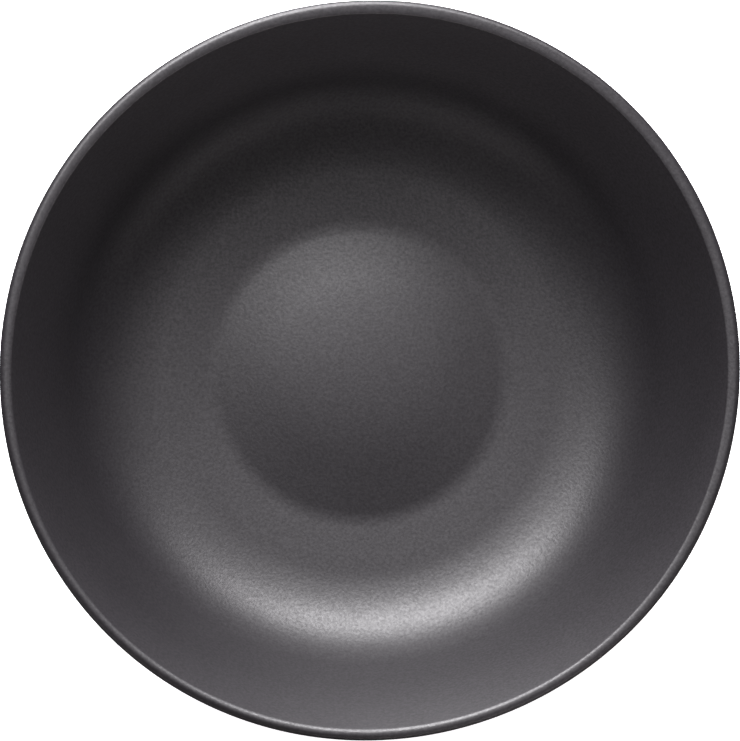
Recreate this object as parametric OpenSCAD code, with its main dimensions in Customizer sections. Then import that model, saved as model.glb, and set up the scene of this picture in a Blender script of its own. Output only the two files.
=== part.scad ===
// Round stoneware serving bowl: one fired clay body with a turned foot ring, and the matte glaze
// that covers all of it but the bare foot it was fired on.
// Millimetres, +Z up, origin on the table at the centre of the foot ring.

/* [Bowl] */
// Outside diameter over the rim
rim_d = 280; // [250:1:320]
// Height from the table to the top of the rim
bowl_h = 80; // [68:1:100]

/* [Wall] */
// Thickness of the glazed wall, which is also the diameter of its round lip
wall_t = 4.7; // [4:0.1:6.5]
// Inside radius of the wall's slight curve from heel to lip, seen from the side
wall_r = 1500; // [300:10:2000]
// Inside radius of the heel, the curve between floor and wall
heel_r = 45; // [38:1:56]

/* [Floor] */
// Diameter of the floor, where the heel begins
floor_d = 156; // [144:1:170]
// Slope of the floor from the well out to the heel, in degrees from level
floor_slope = 5; // [3:0.5:9]
// Diameter of the ring where the floor is lowest, round the crowned well
well_d = 118; // [100:1:126]
// Rise of the well's crown above that ring
crown_h = 7.3; // [6:0.1:10]
// Slope of the crown's flank, between its round middle and that ring, in degrees from level
crown_slope = 11; // [9:0.5:13]
// Radius of the hollow curve between the crown and the sloping floor
moat_r = 24; // [10:1:60]
// Thickness of the glazed base
base_t = 6.5; // [5.5:0.1:8]

/* [Foot] */
// Outside diameter of the bare foot ring at the table
foot_d = 122; // [108:1:134]
// Width of the bare foot ring at the table, before its edges are rounded
foot_w = 6; // [4:0.1:9]
// Height of the bowl's underside above the table, just outside the foot
foot_h = 5; // [4.2:0.1:8]
// Draft of the foot's two faces, in degrees from upright
foot_draft = 8; // [2:1:15]
// Radius of the hollow where the foot meets the underside
foot_fillet_r = 2.2; // [1:0.1:2.6]
// Radius on the edges of the standing face
foot_edge_r = 0.8; // [0.3:0.1:1.3]

/* [Glaze] */
// Thickness of the glaze
glaze_t = 0.5; // [0.3:0.05:0.8]
// Height of the glaze's lower edge above the table
glaze_line_h = 1.4; // [1.2:0.1:1.7]

/* [Hidden] */

// Largest distance between a curve of the section and the chords that stand for it
curve_tol = 0.01;
// Sides of a revolved solid where it is drawn as a mesh
round_fn = 180;

clay_colour = [0.58, 0.55, 0.5];
glaze_colour = [0.22, 0.215, 0.22];

// The section is drawn in x (out from the axis) and y (up). Each surface point carries the angle
// of the normal that points out of the ware: a slope s has it at 90 + s inside the bowl, and at
// s - 90 outside.

function along(angle) = [cos(angle), sin(angle)];
function slope_of(normal) = atan2(-normal.x, normal.y);
function reversed(list) = [for (i = [len(list) - 1:-1:0]) list[i]];

// Where two lines meet, each given by a point and its normal
function meet(p, n, q, m) =
    let (det = n.x * m.y - n.y * m.x)
    [(p * n * m.y - q * m * n.y) / det, (q * m * n.x - p * n * m.x) / det];

// The corner of a triangle on the side from p to q, to its left, at given distances from p and q
function corner(p, from_p, q, from_q) =
    let (d = norm(q - p), ahead = (q - p) / d, u = (d * d + from_p * from_p - from_q * from_q) / (2 * d))
    p + u * ahead + sqrt(from_p * from_p - u * u) * [-ahead.y, ahead.x];

// Steps that keep an arc's chords within curve_tol of it
function arc_steps(r, sweep) =
    ceil(abs(sweep) / (2 * acos(1 - curve_tol / max(abs(r), curve_tol))));

// An arc about c that turns its normal from one angle to another. A negative radius makes it
// hollow. An arc that runs on smoothly from the last one leaves out its first point.
function arc(c, r, from, to, runs_on = false) =
    let (n = arc_steps(r, to - from))
    [for (i = [runs_on ? 1 : 0:n])
        let (a = from + (to - from) * i / n)
        [c.x + r * cos(a), c.y + r * sin(a), a]];

// A line of surface points, sunk into the ware by a depth
function sunk(points, depth) = [for (p = points) [p.x - depth * cos(p.z), p.y - depth * sin(p.z)]];

// Floor: a cone above the foot, a hollow ring, and a crown with a straight flank and a round middle
floor_up = along(90 + floor_slope);
floor_down = along(floor_slope - 90);
under_at = [foot_d / 2, foot_h];
floor_at = under_at + base_t * floor_up;
function on_floor(x) = [x, floor_at.y - (x - floor_at.x) * floor_up.x / floor_up.y];
well_r = well_d / 2;
moat_c = on_floor(well_r) + [0, moat_r / floor_up.y];
crown_top = moat_c.y - moat_r + crown_h;
crown_r = (well_r * tan(crown_slope) - crown_h) / (1 / cos(crown_slope) - 1) - moat_r;
crown_c = [0, crown_top - crown_r];

// Wall: one arc that touches the heel's curve and the lip's with no kink
heel_c = on_floor(floor_d / 2) + heel_r * floor_up;
lip_r = wall_t / 2;
lip_c = [rim_d / 2 - lip_r, bowl_h - lip_r];
wall_c = corner(heel_c, wall_r - heel_r, lip_c, wall_r + lip_r);
heel_slope = slope_of(wall_c - heel_c);
lip_slope = slope_of(wall_c - lip_c);

// Glazed thickness below the wall, easing from the wall's own to the base's as the heel levels out
function thickness(slope) =
    let (u = (slope - floor_slope) / (heel_slope - floor_slope))
    base_t + (wall_t - base_t) * u * u * (3 - 2 * u);

heel_steps = arc_steps(heel_r + base_t, heel_slope - floor_slope);
heel_outside = [for (i = [1:heel_steps])
    let (s = heel_slope + (floor_slope - heel_slope) * i / heel_steps,
        p = heel_c + (heel_r + thickness(s)) * along(s - 90))
    [p.x, p.y, s - 90]];

// Foot: two bare faces with draft, each running up into a glazed hollow
foot_out_at = [foot_d / 2, 0];
foot_in_at = [foot_d / 2 - foot_w, 0];
out_a = -foot_draft;
in_a = foot_draft - 180;
out_rise = along(out_a + 90);
in_rise = along(in_a - 90);
fillet_off = glaze_t + foot_fillet_r;
out_fillet_c = meet(under_at + foot_fillet_r * floor_down, floor_down,
    foot_out_at + fillet_off * along(out_a), along(out_a));

// The base's underside inside the foot is one arc, base_t below the crown's top and level with the
// underside outside the foot at its edge. The inner hollow touches it.
ceiling_top = crown_top - base_t;
ceiling_h = ceiling_top - foot_h;
ceiling_r = (ceiling_h * ceiling_h + foot_in_at.x * foot_in_at.x) / (2 * ceiling_h);
ceiling_c = [0, ceiling_top - ceiling_r];
in_from = foot_in_at + fillet_off * along(in_a) - ceiling_c;
in_lift = sqrt(pow(in_from * in_rise, 2) - in_from * in_from + pow(ceiling_r - foot_fillet_r, 2))
    - in_from * in_rise;
in_fillet_c = ceiling_c + in_from + in_lift * in_rise;
ceiling_a = slope_of(in_fillet_c - ceiling_c) - 90;

// Glazed surface from the middle of the floor, up the wall, over the lip and down to the foot
bowl_surface = concat(
    arc(crown_c, crown_r, 90, 90 - crown_slope),
    arc(moat_c, -moat_r, 90 - crown_slope, 90 + floor_slope),
    arc(heel_c, -heel_r, 90 + floor_slope, 90 + heel_slope),
    arc(wall_c, -wall_r, 90 + heel_slope, 90 + lip_slope, true),
    arc(lip_c, lip_r, 90 + lip_slope, lip_slope - 90, true),
    arc(wall_c, wall_r + wall_t, lip_slope - 90, heel_slope - 90, true),
    heel_outside,
    arc(out_fillet_c, -foot_fillet_r, floor_slope - 90, out_a));

// Glazed surface under the base, from the foot's inner face to the middle
well_surface = concat(
    arc(in_fillet_c, -foot_fillet_r, in_a, ceiling_a),
    arc(ceiling_c, -ceiling_r, ceiling_a, -90, true));

// Bare standing ring
edge_lift = [0, foot_edge_r];
foot_surface = concat(
    arc(meet(foot_out_at - foot_edge_r * along(out_a), along(out_a), edge_lift, [0, 1]),
        foot_edge_r, out_a, -90),
    arc(meet(foot_in_at - foot_edge_r * along(in_a), along(in_a), edge_lift, [0, 1]),
        foot_edge_r, -90, in_a));

// Round lower edge of the glaze on a foot face, which leaves the table at a point and rises one way
function glaze_edge(at, rise, from, to) =
    arc(at + (glaze_line_h + glaze_t) / rise.y * rise, glaze_t, from, to);
out_edge = glaze_edge(foot_out_at, out_rise, out_a, out_a - 90);
in_edge = glaze_edge(foot_in_at, in_rise, in_a + 90, in_a);

module turned(section) {
    rotate_extrude($fn = round_fn) polygon(section);
}

module stoneware_body() {
    color(clay_colour)
        turned(concat(sunk(bowl_surface, glaze_t), sunk(foot_surface, 0), sunk(well_surface, glaze_t)));
}

module glaze_coat() {
    color(glaze_colour)
        turned(concat(sunk(bowl_surface, 0), sunk(out_edge, 0), reversed(sunk(bowl_surface, glaze_t))));
}

module foot_well_glaze() {
    color(glaze_colour)
        turned(concat(sunk(in_edge, 0), sunk(well_surface, 0), reversed(sunk(well_surface, glaze_t))));
}

stoneware_body();
glaze_coat();
foot_well_glaze();
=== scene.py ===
import cmath
import math

import bmesh
import bpy
from mathutils import Matrix, Vector


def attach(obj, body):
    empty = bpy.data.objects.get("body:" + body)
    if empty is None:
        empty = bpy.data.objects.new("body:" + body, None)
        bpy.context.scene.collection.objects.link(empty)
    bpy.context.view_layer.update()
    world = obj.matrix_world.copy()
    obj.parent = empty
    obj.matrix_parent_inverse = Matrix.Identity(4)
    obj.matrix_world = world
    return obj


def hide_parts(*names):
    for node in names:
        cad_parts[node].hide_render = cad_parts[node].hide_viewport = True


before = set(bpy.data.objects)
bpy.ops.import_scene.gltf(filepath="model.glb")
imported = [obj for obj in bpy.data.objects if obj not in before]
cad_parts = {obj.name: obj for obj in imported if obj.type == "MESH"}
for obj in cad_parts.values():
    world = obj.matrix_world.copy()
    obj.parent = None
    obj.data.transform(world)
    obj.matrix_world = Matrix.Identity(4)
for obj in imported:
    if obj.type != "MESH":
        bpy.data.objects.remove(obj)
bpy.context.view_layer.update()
scene = bpy.context.scene
perMetre = 1000  # millimetres
print("frame loaded:", ", ".join(sorted(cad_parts)))


# Node trees

def feed(tree, socket, value):  # by a link or a value; a colour's value has three parts
    if isinstance(value, bpy.types.NodeSocket):
        tree.links.new(value, socket)
    elif socket.type == "RGBA":
        socket.default_value = (*value, 1)
    else:
        socket.default_value = value


def feedAll(tree, node, inputs):
    for key, value in inputs.items():
        feed(tree, node.inputs[key], value)


def addNode(tree, kind, inputs=None, **options):
    made = tree.nodes.new(kind)
    for key, value in options.items():
        setattr(made, key, value)
    feedAll(tree, made, inputs or {})
    return made


def calc(tree, operation, a, b=0.0, c=0.0):
    return addNode(tree, "ShaderNodeMath", {0: a, 1: b, 2: c}, operation=operation).outputs[0]


def calcWhole(tree, operation, a, b):
    return addNode(tree, "FunctionNodeIntegerMath", {0: a, 1: b}, operation=operation).outputs[0]


def combine(tree, x, y, z=0.0):
    return addNode(tree, "ShaderNodeCombineXYZ", {0: x, 1: y, 2: z}).outputs[0]


def ramp(tree, value, start=0.0, end=1.0, low=0.0, high=1.0):  # low at the start, high at the end
    inputs = {0: value, 1: start, 2: end, 3: low, 4: high}
    return addNode(tree, "ShaderNodeMapRange", inputs).outputs[0]


def mixColour(tree, share, a, b):
    return addNode(tree, "ShaderNodeMix", {0: share, 6: a, 7: b}, data_type="RGBA").outputs[2]


def noiseOn(tree, place, size, detail, roughness=0.5):
    inputs = {"Vector": place, "Scale": 1 / size, "Detail": detail, "Roughness": roughness}
    return addNode(tree, "ShaderNodeTexNoise", inputs).outputs[0]


# The turned section, in millimetres and degrees, with the sizes of the part's source.
# A point is a complex number: its real part is out from the axis, its imaginary part is up.
# With it goes the angle of its outward normal: a slope s has it at 90 + s inside the bowl, and at
# s - 90 outside.

ware = dict(
    rimD=280, bowlH=80, wallT=4.7, wallR=1500, heelR=45,
    floorD=156, floorSlope=5, wellD=118, crownH=7.3, crownSlope=11, moatR=24, baseT=6.5,
    footD=122, footW=6, footH=5, footDraft=8, footFilletR=2.2, footEdgeR=0.8,
    glazeT=0.5, glazeLineH=1.4,
)

steps = dict(         # longest steps between the section's points
    seen=1.4,         # on the glaze
    hidden=4.0,       # where it lies on the clay
    straightTimes=2,  # as long on straight lines
    gentleTimes=1.5,  # as long on the wall's outside and under the base
    moat=0.5,
    tight=0.25,       # on the lip and in the hollows beside the foot
    footEdge=0.15,
    glazeEdge=0.08,
    fewest=6,         # steps in an arc
)


def along(angle):
    return cmath.rect(1, math.radians(angle))


def dot(p, q):
    return (p * q.conjugate()).real


def slopeOf(normal):
    return math.degrees(cmath.phase(normal * -1j))


def meet(p, n, q, m):  # where two lines meet, each a point and its normal
    det = n.real * m.imag - n.imag * m.real
    a, b = dot(p, n), dot(q, m)
    return complex(a * m.imag - b * n.imag, b * n.real - a * m.real) / det


def corner(p, fromP, q, fromQ):  # left of the line from p to q, at these distances
    d = abs(q - p)
    u = (d * d + fromP ** 2 - fromQ ** 2) / (2 * d)
    return p + (u + 1j * math.sqrt(fromP ** 2 - u * u)) * (q - p) / d


def arc(c, r, start, end, pitch, runsOn=False):  # the start is left out where the arc runs on
    n = max(steps["fewest"], math.ceil(abs(r * math.radians(end - start)) / pitch))
    angles = [start + (end - start) * i / n for i in range(int(runsOn), n + 1)]
    return [(c + r * along(a), a) for a in angles]


def line(p, q, angle, pitch):  # the points between two ends, without them
    n = max(1, math.ceil(abs(q - p) / pitch))
    return [(p + (q - p) * i / n, angle) for i in range(1, n)]


def eased(value, start, end):  # 0 at the start, 1 at the end, level at both
    u = min(max((value - start) / (end - start), 0), 1)
    return u * u * (3 - 2 * u)


def bowlSurfaces(pitch):
    s = ware
    straight, gentle = pitch * steps["straightTimes"], pitch * steps["gentleTimes"]
    tight = steps["tight"]

    # floor: a cone above the foot, a hollow ring, and a crown with a straight flank
    floorA, underA, flankA = 90 + s["floorSlope"], s["floorSlope"] - 90, 90 - s["crownSlope"]
    floorUp, floorDown, flankUp = along(floorA), along(underA), along(flankA)
    underAt = complex(s["footD"] / 2, s["footH"])
    floorAt = underAt + s["baseT"] * floorUp

    def onFloor(x):
        return complex(x, floorAt.imag - (x - floorAt.real) * floorUp.real / floorUp.imag)

    wellR, moatR, heelR, wallR = s["wellD"] / 2, s["moatR"], s["heelR"], s["wallR"]
    moatC = onFloor(wellR) + 1j * moatR / floorUp.imag
    crownTop = moatC.imag - moatR + s["crownH"]
    crownRun = math.radians(s["crownSlope"])
    crownR = (wellR * math.tan(crownRun) - s["crownH"]) / (1 / math.cos(crownRun) - 1) - moatR
    crownC = 1j * (crownTop - crownR)

    # wall: one arc that touches the heel's curve and the lip's
    heelC = onFloor(s["floorD"] / 2) + heelR * floorUp
    lipR = s["wallT"] / 2
    lipC = complex(s["rimD"] / 2 - lipR, s["bowlH"] - lipR)
    wallC = corner(heelC, wallR - heelR, lipC, wallR + lipR)
    heelSlope, lipSlope = slopeOf(wallC - heelC), slopeOf(wallC - lipC)

    # the heel's outside, easing from the wall's thickness to the base's
    heelSweep = heelSlope - s["floorSlope"]
    heelSteps = math.ceil((heelR + s["baseT"]) * math.radians(heelSweep) / pitch)
    heelOutside = []
    for i in range(1, heelSteps + 1):
        slope = heelSlope + (s["floorSlope"] - heelSlope) * i / heelSteps
        thinner = eased(slope, s["floorSlope"], heelSlope)
        thick = s["baseT"] + (s["wallT"] - s["baseT"]) * thinner
        heelOutside.append((heelC + (heelR + thick) * along(slope - 90), slope - 90))

    # foot: two bare faces with draft, each running up into a glazed hollow
    footOutAt = complex(s["footD"] / 2, 0)
    footInAt = complex(s["footD"] / 2 - s["footW"], 0)
    outA, inA = -s["footDraft"], s["footDraft"] - 180
    outWay, inWay = along(outA), along(inA)
    outRise, inRise = along(outA + 90), along(inA - 90)
    filletR, edgeR = s["footFilletR"], s["footEdgeR"]
    filletOff = s["glazeT"] + filletR
    outFilletC = meet(underAt + filletR * floorDown, floorDown,
                      footOutAt + filletOff * outWay, outWay)
    ceilingTop = crownTop - s["baseT"]
    ceilingH = ceilingTop - s["footH"]
    ceilingR = (ceilingH ** 2 + footInAt.real ** 2) / (2 * ceilingH)
    ceilingC = 1j * (ceilingTop - ceilingR)
    inFrom = footInAt + filletOff * inWay - ceilingC
    inAlong = dot(inFrom, inRise)
    inLift = math.sqrt(inAlong ** 2 - abs(inFrom) ** 2 + (ceilingR - filletR) ** 2) - inAlong
    inFilletC = ceilingC + inFrom + inLift * inRise
    ceilingA = slopeOf(inFilletC - ceilingC) - 90

    moatEnd = moatC - moatR * floorUp
    heelStart = heelC - heelR * floorUp
    underStart = heelOutside[-1][0]
    filletStart = outFilletC - filletR * floorDown
    bowl = (arc(crownC, crownR, 90, flankA, pitch)
            + line(crownC + crownR * flankUp, moatC - moatR * flankUp, flankA, straight)
            + arc(moatC, -moatR, flankA, floorA, steps["moat"])
            + line(moatEnd, heelStart, floorA, straight)
            + arc(heelC, -heelR, floorA, 90 + heelSlope, pitch)
            + arc(wallC, -wallR, 90 + heelSlope, 90 + lipSlope, pitch, True)
            + arc(lipC, lipR, 90 + lipSlope, lipSlope - 90, tight, True)
            + arc(wallC, wallR + s["wallT"], lipSlope - 90, heelSlope - 90, gentle, True)
            + heelOutside
            + line(underStart, filletStart, underA, straight)
            + arc(outFilletC, -filletR, underA, outA, tight))
    well = (arc(inFilletC, -filletR, inA, ceilingA, tight)
            + arc(ceilingC, -ceilingR, ceilingA, -90, gentle, True))

    edgeUp = 1j * edgeR
    outEdgeC = meet(footOutAt - edgeR * outWay, outWay, edgeUp, 1j)
    inEdgeC = meet(footInAt - edgeR * inWay, inWay, edgeUp, 1j)
    foot = (arc(outEdgeC, edgeR, outA, -90, steps["footEdge"])
            + arc(inEdgeC, edgeR, -90, inA, steps["footEdge"]))

    def glazeEdge(at, rise, start, end):  # the glaze's round lower edge on a foot face
        middle = at + (s["glazeLineH"] + s["glazeT"]) / rise.imag * rise
        return arc(middle, s["glazeT"], start, end, steps["glazeEdge"])

    outEdge = glazeEdge(footOutAt, outRise, outA, outA - 90)
    inEdge = glazeEdge(footInAt, inRise, inA + 90, inA)
    return bowl, well, foot, outEdge, inEdge


# One Geometry Nodes tree turns every section: a grid is wrapped round the axis, row by row from
# the section's points, then warped a little, as ware is in the kiln

kiln = dict(
    segments=256,
    weld=1e-6,           # points closer than this become one, in metres
    oval=0.00079,        # how far the rim is pulled out of round, in metres
    ovalTurn=37.4,       # where it is widest, in degrees
    wave=0.00018,        # how far it bulges in four places
    waveTurn=54,         # where one of those is
    sway=0.0002,         # uneven pull on the rim, inwards
    swaySize=0.11,       # length of that unevenness
    seed=7,
    thick=0.00140,       # how much thicker the lip is on one side than on the other
    thickTurn=64,        # where it is thickest
    thickFrom=78, thickFull=130,   # normals' angles between which that sets in, over the lip
    thickWall=152, wallLoss=0.2,   # the angle where the wall begins, and the share lost there
    thickLow=48, thickHigh=78,     # heights over which it grows up the wall, in millimetres
    sag=0.00110,         # how far the heel sinks
    sagFrom=0.084, sagDeepest=0.111, sagTo=0.137,  # radii
    settle=0.9998,       # share of the drawn height that is left after firing
)


def lipShare(p, angle):  # how much of the lip's thicker side a point takes: none on the outside
    k = kiln
    overLip = eased(angle, k["thickFrom"], k["thickFull"])
    byWall = 1 - k["wallLoss"] * eased(angle, k["thickFull"], k["thickWall"])
    return overLip * byWall * eased(p.imag, k["thickLow"], k["thickHigh"])


def sagAt(reach):
    k = kiln
    return (k["sag"] * eased(reach, k["sagFrom"], k["sagDeepest"])
            * eased(reach, k["sagTo"], k["sagDeepest"]))


def sunk(points, depth):  # into the ware, each point with its share of the thicker side
    return [(p - depth * along(a), lipShare(p, a)) for p, a in points]


def turningTree():
    tree = bpy.data.node_groups.new("turnedWare", "GeometryNodeTree")
    kinds = {"Section": "Geometry", "Segments": "Int", "Finish": "Material"}  # the rest are numbers
    sockets = {}
    for name in ("Section", "Segments", "Rim radius", "Rim height", "Oval", "Oval turn", "Wave",
                 "Wave turn", "Sway", "Sway size", "Seed", "Thick", "Thick turn", "Finish"):
        kind = "NodeSocket" + kinds.get(name, "Float")
        sockets[name] = tree.interface.new_socket(name, in_out="INPUT", socket_type=kind).identifier
    tree.interface.new_socket("Ware", in_out="OUTPUT", socket_type="NodeSocketGeometry")
    given = addNode(tree, "NodeGroupInput").outputs
    section, rimRadius = given["Section"], given["Rim radius"]

    size = addNode(tree, "GeometryNodeAttributeDomainSize", {"Geometry": section})
    columns = calcWhole(tree, "ADD", given["Segments"], 1)
    grid = addNode(tree, "GeometryNodeMeshGrid", {"Vertices X": size.outputs["Point Count"],
                                                  "Vertices Y": columns}).outputs["Mesh"]
    index = addNode(tree, "GeometryNodeInputIndex").outputs[0]
    row = calcWhole(tree, "DIVIDE_FLOOR", index, columns)
    column = calcWhole(tree, "MODULO", index, columns)
    place = addNode(tree, "GeometryNodeInputPosition").outputs[0]
    sampled = addNode(tree, "GeometryNodeSampleIndex",
                      {"Geometry": section, "Value": place, "Index": row},
                      data_type="FLOAT_VECTOR", domain="POINT").outputs[0]
    point = addNode(tree, "ShaderNodeSeparateXYZ", {0: sampled}).outputs

    turn = calc(tree, "DIVIDE", calc(tree, "MULTIPLY", column, 2 * math.pi), given["Segments"])
    cosTurn, sinTurn = calc(tree, "COSINE", turn), calc(tree, "SINE", turn)

    def lobes(count, name):  # a pull that comes so many times round the rim
        swing = calc(tree, "SUBTRACT", turn, given[name + " turn"])
        wave = calc(tree, "COSINE", calc(tree, "MULTIPLY", swing, count))
        return calc(tree, "MULTIPLY", wave, given[name])

    # the pull grows from nothing at the foot and the axis to its full size at the rim
    share = calc(tree, "MULTIPLY", calc(tree, "DIVIDE", point["X"], rimRadius),
                 calc(tree, "DIVIDE", point["Z"], given["Rim height"]))
    ring = combine(tree, calc(tree, "MULTIPLY", cosTurn, rimRadius),
                   calc(tree, "MULTIPLY", sinTurn, rimRadius))
    perSway = calc(tree, "DIVIDE", 1.0, given["Sway size"])
    noise = addNode(tree, "ShaderNodeTexNoise",
                    {"Vector": ring, "W": given["Seed"], "Scale": perSway, "Detail": 1.0},
                    noise_dimensions="4D").outputs[0]
    pull = calc(tree, "SUBTRACT", calc(tree, "ADD", lobes(2.0, "Oval"), lobes(4.0, "Wave")),
                calc(tree, "MULTIPLY", noise, given["Sway"]))

    # the section's second coordinate is its points' share of the lip's thicker side
    lean = calc(tree, "COSINE", calc(tree, "SUBTRACT", turn, given["Thick turn"]))
    fuller = calc(tree, "MULTIPLY", calc(tree, "MULTIPLY_ADD", lean, 0.5, 0.5), given["Thick"])
    pulled = calc(tree, "ADD", point["X"], calc(tree, "MULTIPLY", pull, share))
    radius = calc(tree, "SUBTRACT", pulled, calc(tree, "MULTIPLY", fuller, point["Y"]))
    wrapped = combine(tree, calc(tree, "MULTIPLY", radius, cosTurn),
                      calc(tree, "MULTIPLY", radius, sinTurn), point["Z"])

    turned = addNode(tree, "GeometryNodeSetPosition", {"Geometry": grid, "Position": wrapped})
    closed = addNode(tree, "GeometryNodeMergeByDistance", {"Geometry": turned.outputs[0],
                                                           "Distance": kiln["weld"]})
    smooth = addNode(tree, "GeometryNodeSetShadeSmooth", {"Geometry": closed.outputs[0]})
    real = addNode(tree, "GeometryNodeRealizeInstances", {"Geometry": smooth.outputs[0]})
    painted = addNode(tree, "GeometryNodeSetMaterial", {"Geometry": real.outputs[0],
                                                        "Material": given["Finish"]})
    addNode(tree, "NodeGroupOutput", {0: painted.outputs[0]})
    return tree, sockets


def turnPiece(name, points, finish):
    k = kiln
    drawn = [(p.real / perMetre, share, p.imag / perMetre * k["settle"] - sagAt(p.real / perMetre))
             for p, share in points]
    mesh = bpy.data.meshes.new(name + "Section")
    mesh.from_pydata(drawn, [(i, i + 1) for i in range(len(drawn) - 1)], [])
    piece = bpy.data.objects.new(name, mesh)
    scene.collection.objects.link(piece)
    wheel = piece.modifiers.new("wheel", "NODES")
    wheel.node_group = turnTree
    settings = {
        "Segments": k["segments"], "Seed": float(k["seed"]), "Finish": finish,
        "Rim radius": ware["rimD"] / 2 / perMetre, "Rim height": ware["bowlH"] / perMetre,
        "Oval": k["oval"], "Oval turn": math.radians(k["ovalTurn"]),
        "Wave": k["wave"], "Wave turn": math.radians(k["waveTurn"]),
        "Sway": k["sway"], "Sway size": k["swaySize"],
        "Thick": k["thick"], "Thick turn": math.radians(k["thickTurn"]),
    }
    for key, value in settings.items():
        wheel[turnSockets[key]] = value
    evaluated = piece.evaluated_get(bpy.context.evaluated_depsgraph_get())
    made = bpy.data.meshes.new_from_object(evaluated)
    piece.modifiers.remove(wheel)
    piece.data = made
    bpy.data.meshes.remove(mesh)
    made.name = name

    shell = bmesh.new()
    shell.from_mesh(made)
    if shell.calc_volume(signed=True) < 0:
        bmesh.ops.reverse_faces(shell, faces=shell.faces)
        shell.to_mesh(made)
    triangles = sum(len(face.verts) - 2 for face in shell.faces)
    openEdges = sum(not edge.is_manifold for edge in shell.edges)
    litres = shell.calc_volume() * perMetre
    print(name, "turned:", len(made.vertices), "points,", triangles, "triangles,",
          openEdges, "open edges, %.4f litres" % litres)
    shell.free()
    return piece


# Finishes

def startMaterial(name):
    made = bpy.data.materials.new(name)
    made.use_nodes = True
    return made, made.node_tree, made.node_tree.nodes["Principled BSDF"]


matteGlaze = dict(
    dark=(0.0081, 0.0072, 0.0084),   # the glaze's own colour, in its pits and on its grains
    light=(0.0117, 0.0105, 0.0122),
    ior=1.55,
    pitGloss=0.70,                   # share of the gloss that is left in the pits
    roughness=(0.50, 0.44),          # in the pits and on the grains
    roughRange=(0.3, 0.7),           # noise that counts as the one and the other
    grainSize=0.0011,                # the fine dry grain of the matte surface, in metres
    grainHeight=0.00006,
    grainDetail=1.0, grainRough=0.6,
    grainRange=(0.28, 0.72),         # noise that counts as pit and as grain
    mottleSize=0.022,                # slow drift in how matte it is
    mottleDetail=3.0,
    mottleShare=0.5,                 # its share in the roughness, beside the grain's
    edgeGloss=0.46,                  # share of the gloss where it thins on the lip's outer edge
    edgeFrom=0.1376, edgeTo=0.1392,  # radius over which it thins
    edgeBelow=0.0740, edgeAbove=0.0765,  # and height
    shadeGloss=0.25,                  # share of that gloss on one side of the outer edge, where painted shade lies
    shadeColour=(0.0034, 0.0029, 0.0035),   # its colour there, much darker: painted shade
    shadeTurn=295,                    # where that shaded side is, in degrees
    shadeFrom=0.05, shadeTo=0.125,     # how far out that way the painted shade begins and is full
)


def glazeMaterial():
    m = matteGlaze
    made, tree, shader = startMaterial("matteGlaze")
    place = addNode(tree, "ShaderNodeTexCoord").outputs["Object"]
    grain = noiseOn(tree, place, m["grainSize"], m["grainDetail"], m["grainRough"])
    mottle = noiseOn(tree, place, m["mottleSize"], m["mottleDetail"])
    tone = ramp(tree, grain, *m["grainRange"])
    colour = mixColour(tree, tone, m["dark"], m["light"])
    gloss = ramp(tree, tone, low=m["pitGloss"])
    matte = calc(tree, "ADD", calc(tree, "MULTIPLY", grain, 1 - m["mottleShare"]),
                 calc(tree, "MULTIPLY", mottle, m["mottleShare"]))
    bump = addNode(tree, "ShaderNodeBump",
                   {"Strength": 1.0, "Distance": m["grainHeight"], "Height": grain})

    # the lip's outer edge, and the side of it that gets painted shade
    axis = addNode(tree, "ShaderNodeSeparateXYZ", {0: place}).outputs
    level = combine(tree, axis["X"], axis["Y"])
    reach = addNode(tree, "ShaderNodeVectorMath", {0: level}, operation="LENGTH").outputs["Value"]
    edge = calc(tree, "MULTIPLY", ramp(tree, reach, m["edgeFrom"], m["edgeTo"]),
                ramp(tree, axis["Z"], m["edgeBelow"], m["edgeAbove"]))
    shadeAngle = math.radians(m["shadeTurn"])
    shadeWay = (math.cos(shadeAngle), math.sin(shadeAngle), 0)
    sideways = addNode(tree, "ShaderNodeVectorMath", {0: place, 1: shadeWay},
                       operation="DOT_PRODUCT").outputs["Value"]
    # painted shade: on one side the lip's outer edge gets a darker colour and less gloss
    paintedShade = calc(tree, "MULTIPLY", edge, ramp(tree, sideways, m["shadeFrom"], m["shadeTo"]))
    thin = ramp(tree, edge, low=1.0, high=m["edgeGloss"])
    shadedGloss = ramp(tree, paintedShade, low=1.0, high=m["shadeGloss"])

    feedAll(tree, shader, {
        "Base Color": mixColour(tree, paintedShade, colour, m["shadeColour"]),
        "Roughness": ramp(tree, matte, *m["roughRange"], *m["roughness"]),
        "Specular Tint": calc(tree, "MULTIPLY", gloss, calc(tree, "MULTIPLY", thin, shadedGloss)),
        "IOR": m["ior"],
        "Normal": bump.outputs[0],
    })
    return made


bareClay = dict(
    body=(0.26, 0.22, 0.18),
    grit=(0.40, 0.36, 0.30),
    iron=(0.060, 0.040, 0.028),
    toast=(0.17, 0.105, 0.062),      # where the clay meets the glaze
    roughness=0.86,
    gritSize=0.0007,
    gritHeight=0.00012,
    gritDetail=3.0,
    gritRange=(0.35, 0.7),           # noise that counts as body and as grit
    ironSize=0.0022,                 # from one speck to the next
    ironRange=(0.16, 0.10),          # a speck's outer and inner edge, as a share of that
    toastFrom=0.0008, toastTo=0.0020,  # heights
    toastShare=0.75,
)


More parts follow.
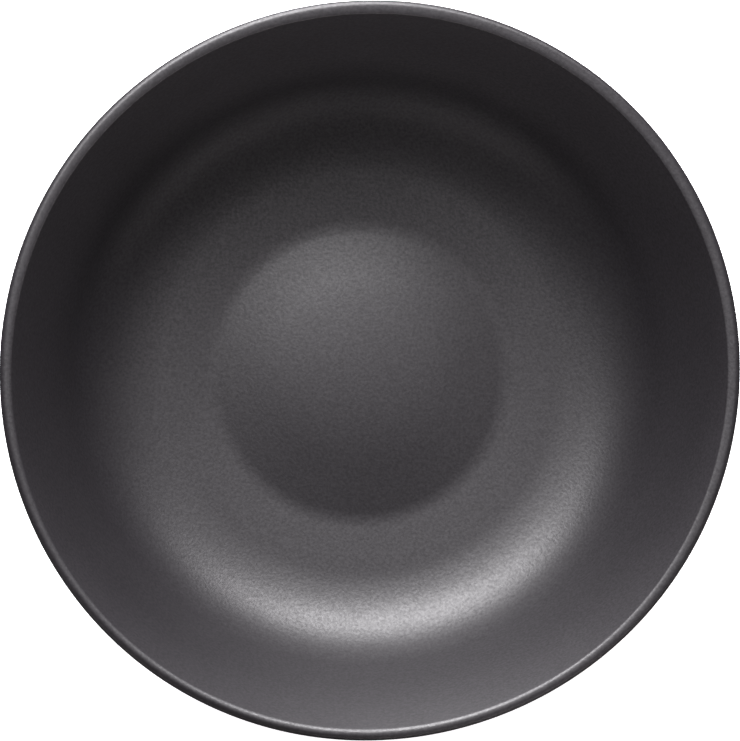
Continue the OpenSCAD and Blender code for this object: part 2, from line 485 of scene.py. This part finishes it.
def clayMaterial():
    c = bareClay
    made, tree, shader = startMaterial("bareClay")
    place = addNode(tree, "ShaderNodeTexCoord").outputs["Object"]
    height = addNode(tree, "ShaderNodeSeparateXYZ", {0: place}).outputs["Z"]
    grit = noiseOn(tree, place, c["gritSize"], c["gritDetail"])
    gritty = mixColour(tree, ramp(tree, grit, *c["gritRange"]), c["body"], c["grit"])
    speck = addNode(tree, "ShaderNodeTexVoronoi", {"Vector": place, "Scale": 1 / c["ironSize"]})
    isIron = ramp(tree, speck.outputs["Distance"], *c["ironRange"])
    spotted = mixColour(tree, isIron, gritty, c["iron"])
    nearGlaze = ramp(tree, height, c["toastFrom"], c["toastTo"], high=c["toastShare"])
    bump = addNode(tree, "ShaderNodeBump",
                   {"Strength": 1.0, "Distance": c["gritHeight"], "Height": grit})
    feedAll(tree, shader, {
        "Base Color": mixColour(tree, nearGlaze, spotted, c["toast"]),
        "Roughness": c["roughness"],
        "Normal": bump.outputs[0],
    })
    return made


# The three pieces

glazeFinish, clayFinish = glazeMaterial(), clayMaterial()
turnTree, turnSockets = turningTree()
bowlSide, wellSide, footSide, outEdge, inEdge = bowlSurfaces(steps["seen"])
bowlBack, wellBack, _, _, _ = bowlSurfaces(steps["hidden"])
bowlInner, wellInner = sunk(bowlBack, ware["glazeT"]), sunk(wellBack, ware["glazeT"])

clayBody = turnPiece("clayBody", bowlInner + sunk(footSide, 0) + wellInner, clayFinish)
glazeCoat = turnPiece("glazeCoat", sunk(bowlSide + outEdge, 0) + bowlInner[::-1], glazeFinish)
wellGlaze = turnPiece("wellGlaze", sunk(inEdge + wellSide, 0)[::-1] + wellInner, glazeFinish)

for piece, node, slot in ((clayBody, "stoneware_body", "stoneware"),
                          (glazeCoat, "glaze_coat", "matte_glaze"),
                          (wellGlaze, "foot_well_glaze", "matte_glaze")):
    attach(piece, "root")
    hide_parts(node)
print("pieces in place")


# Studio: a softbox, a low strip and a panel behind, two cards and a weak fill in front, and a
# card above, over a pale floor

studio = dict(
    floorSize=8.0, floorRough=0.9, floorShine=0.1,
    floorSeen=0.90, floorFelt=0.05,  # how pale the floor is to the eye, and to the bowl
    floorGlow=0.74,                  # light of its own, to the eye alone
    world=0.21, worldTint=(1, 0.95, 0.98),
    backdrop=0.95,                   # what the eye sees beyond the floor
    lampAway=2.0,
    tints=dict(lamp=(1, 0.983, 1.008), card=(1, 0.93, 0.955), top=(1, 0.96, 1)),
    lights=dict(  # turn from +X and rise in degrees, sizes in metres, glow per area
        softbox=dict(turn=94, rise=35, wide=2.5, high=0.87, glow=24.6, tint="lamp"),
        lowStrip=dict(turn=97, rise=5, wide=1.1, high=0.28, glow=64, tint="lamp"),
        highPanel=dict(turn=129, rise=47, wide=1.2, high=0.38, glow=11, tint="lamp"),
        leftCard=dict(turn=253, rise=12, wide=3.9, high=0.33, glow=4.5, tint="card"),
        rightCard=dict(turn=310, rise=12, wide=3.4, high=0.36, glow=4.5, tint="card"),
        fillCard=dict(turn=270, rise=33, wide=4.0, high=0.8, glow=0.17, tint="card"),
        topCard=dict(turn=73, rise=84, wide=2.8, high=1.0, glow=1.1, tint="top"),
    ),
)


def makeFloor():
    half = studio["floorSize"] / 2
    corners = [(-half, -half, 0), (half, -half, 0), (half, half, 0), (-half, half, 0)]
    mesh = bpy.data.meshes.new("floor")
    mesh.from_pydata(corners, [], [(0, 1, 2, 3)])
    floor = bpy.data.objects.new("floor", mesh)
    scene.collection.objects.link(floor)
    paint, tree, shader = startMaterial("paleFloor")
    # it is pale to the eye alone, so that it doesn't light the bowl from below
    seen = addNode(tree, "ShaderNodeLightPath").outputs["Is Camera Ray"]
    feedAll(tree, shader, {
        "Base Color": ramp(tree, seen, low=studio["floorFelt"], high=studio["floorSeen"]),
        "Roughness": studio["floorRough"],
        "Specular IOR Level": studio["floorShine"],
        "Emission Color": (1, 1, 1),
        "Emission Strength": calc(tree, "MULTIPLY", seen, studio["floorGlow"]),
    })
    # seen from below it is clear, so that the underside can be looked at
    below = addNode(tree, "ShaderNodeNewGeometry").outputs["Backfacing"]
    clear = addNode(tree, "ShaderNodeBsdfTransparent").outputs[0]
    mixed = addNode(tree, "ShaderNodeMixShader", {0: below, 1: shader.outputs[0], 2: clear})
    feed(tree, tree.nodes["Material Output"].inputs["Surface"], mixed.outputs[0])
    mesh.materials.append(paint)


def makeLight(name, turn, rise, wide, high, glow, tint):
    data = bpy.data.lights.new(name, "AREA")
    data.shape = "ELLIPSE"
    data.size, data.size_y, data.energy = wide, high, glow * math.pi * wide * high
    data.color = studio["tints"][tint]
    lamp = bpy.data.objects.new(name, data)
    a, e = math.radians(turn), math.radians(rise)
    towards = Vector((math.cos(a) * math.cos(e), math.sin(a) * math.cos(e), math.sin(e)))
    aim = Vector((0, 0, ware["bowlH"] / 2 / perMetre))
    lamp.location = aim + towards * studio["lampAway"]
    lamp.rotation_euler = towards.to_track_quat("Z", "Y").to_euler()
    scene.collection.objects.link(lamp)


def makeWorld():
    world = bpy.data.worlds.new("studio")
    scene.world = world
    world.use_nodes = True
    tree = world.node_tree
    tree.nodes.clear()
    seen = addNode(tree, "ShaderNodeLightPath").outputs["Is Camera Ray"]
    dim = addNode(tree, "ShaderNodeBackground",
                  {"Color": studio["worldTint"], "Strength": studio["world"]}).outputs[0]
    pale = addNode(tree, "ShaderNodeBackground",
                   {"Color": (1, 1, 1), "Strength": studio["backdrop"]}).outputs[0]
    both = addNode(tree, "ShaderNodeMixShader", {0: seen, 1: dim, 2: pale}).outputs[0]
    addNode(tree, "ShaderNodeOutputWorld", {"Surface": both})


makeFloor()
makeWorld()
for name, values in studio["lights"].items():
    makeLight(name, **values)
scene.view_settings.view_transform = "Standard"
print("studio lit")


# Camera: almost straight above, a little to the front left, the rim filling the frame

shot = dict(
    away=1.5,                      # from the middle of the rim, in metres
    tilt=4.45,                     # from straight above, in degrees
    leanX=-0.964, leanY=-0.265,    # the way it tilts
    aimX=-0.00086, aimY=-0.00034,
    frameSpan=0.27933,             # width of the picture at the rim
    sensor=36,
)

rimHeight = (ware["bowlH"] - ware["wallT"] / 2) / perMetre
rimCentre = Vector((shot["aimX"], shot["aimY"], rimHeight))
tilt = math.radians(shot["tilt"])
back = Vector((shot["leanX"] * math.sin(tilt), shot["leanY"] * math.sin(tilt), math.cos(tilt)))
back.normalize()
right = Vector((0, 1, 0)).cross(back).normalized()
upward = back.cross(right)
cameraData = bpy.data.cameras.new("camera")
cameraData.sensor_width = shot["sensor"]
cameraData.lens = shot["sensor"] * shot["away"] / shot["frameSpan"]
camera = bpy.data.objects.new("camera", cameraData)
facing = Matrix((right, upward, back)).transposed().to_4x4()
camera.matrix_world = Matrix.Translation(rimCentre + back * shot["away"]) @ facing
scene.collection.objects.link(camera)
scene.camera = camera
print("camera placed")
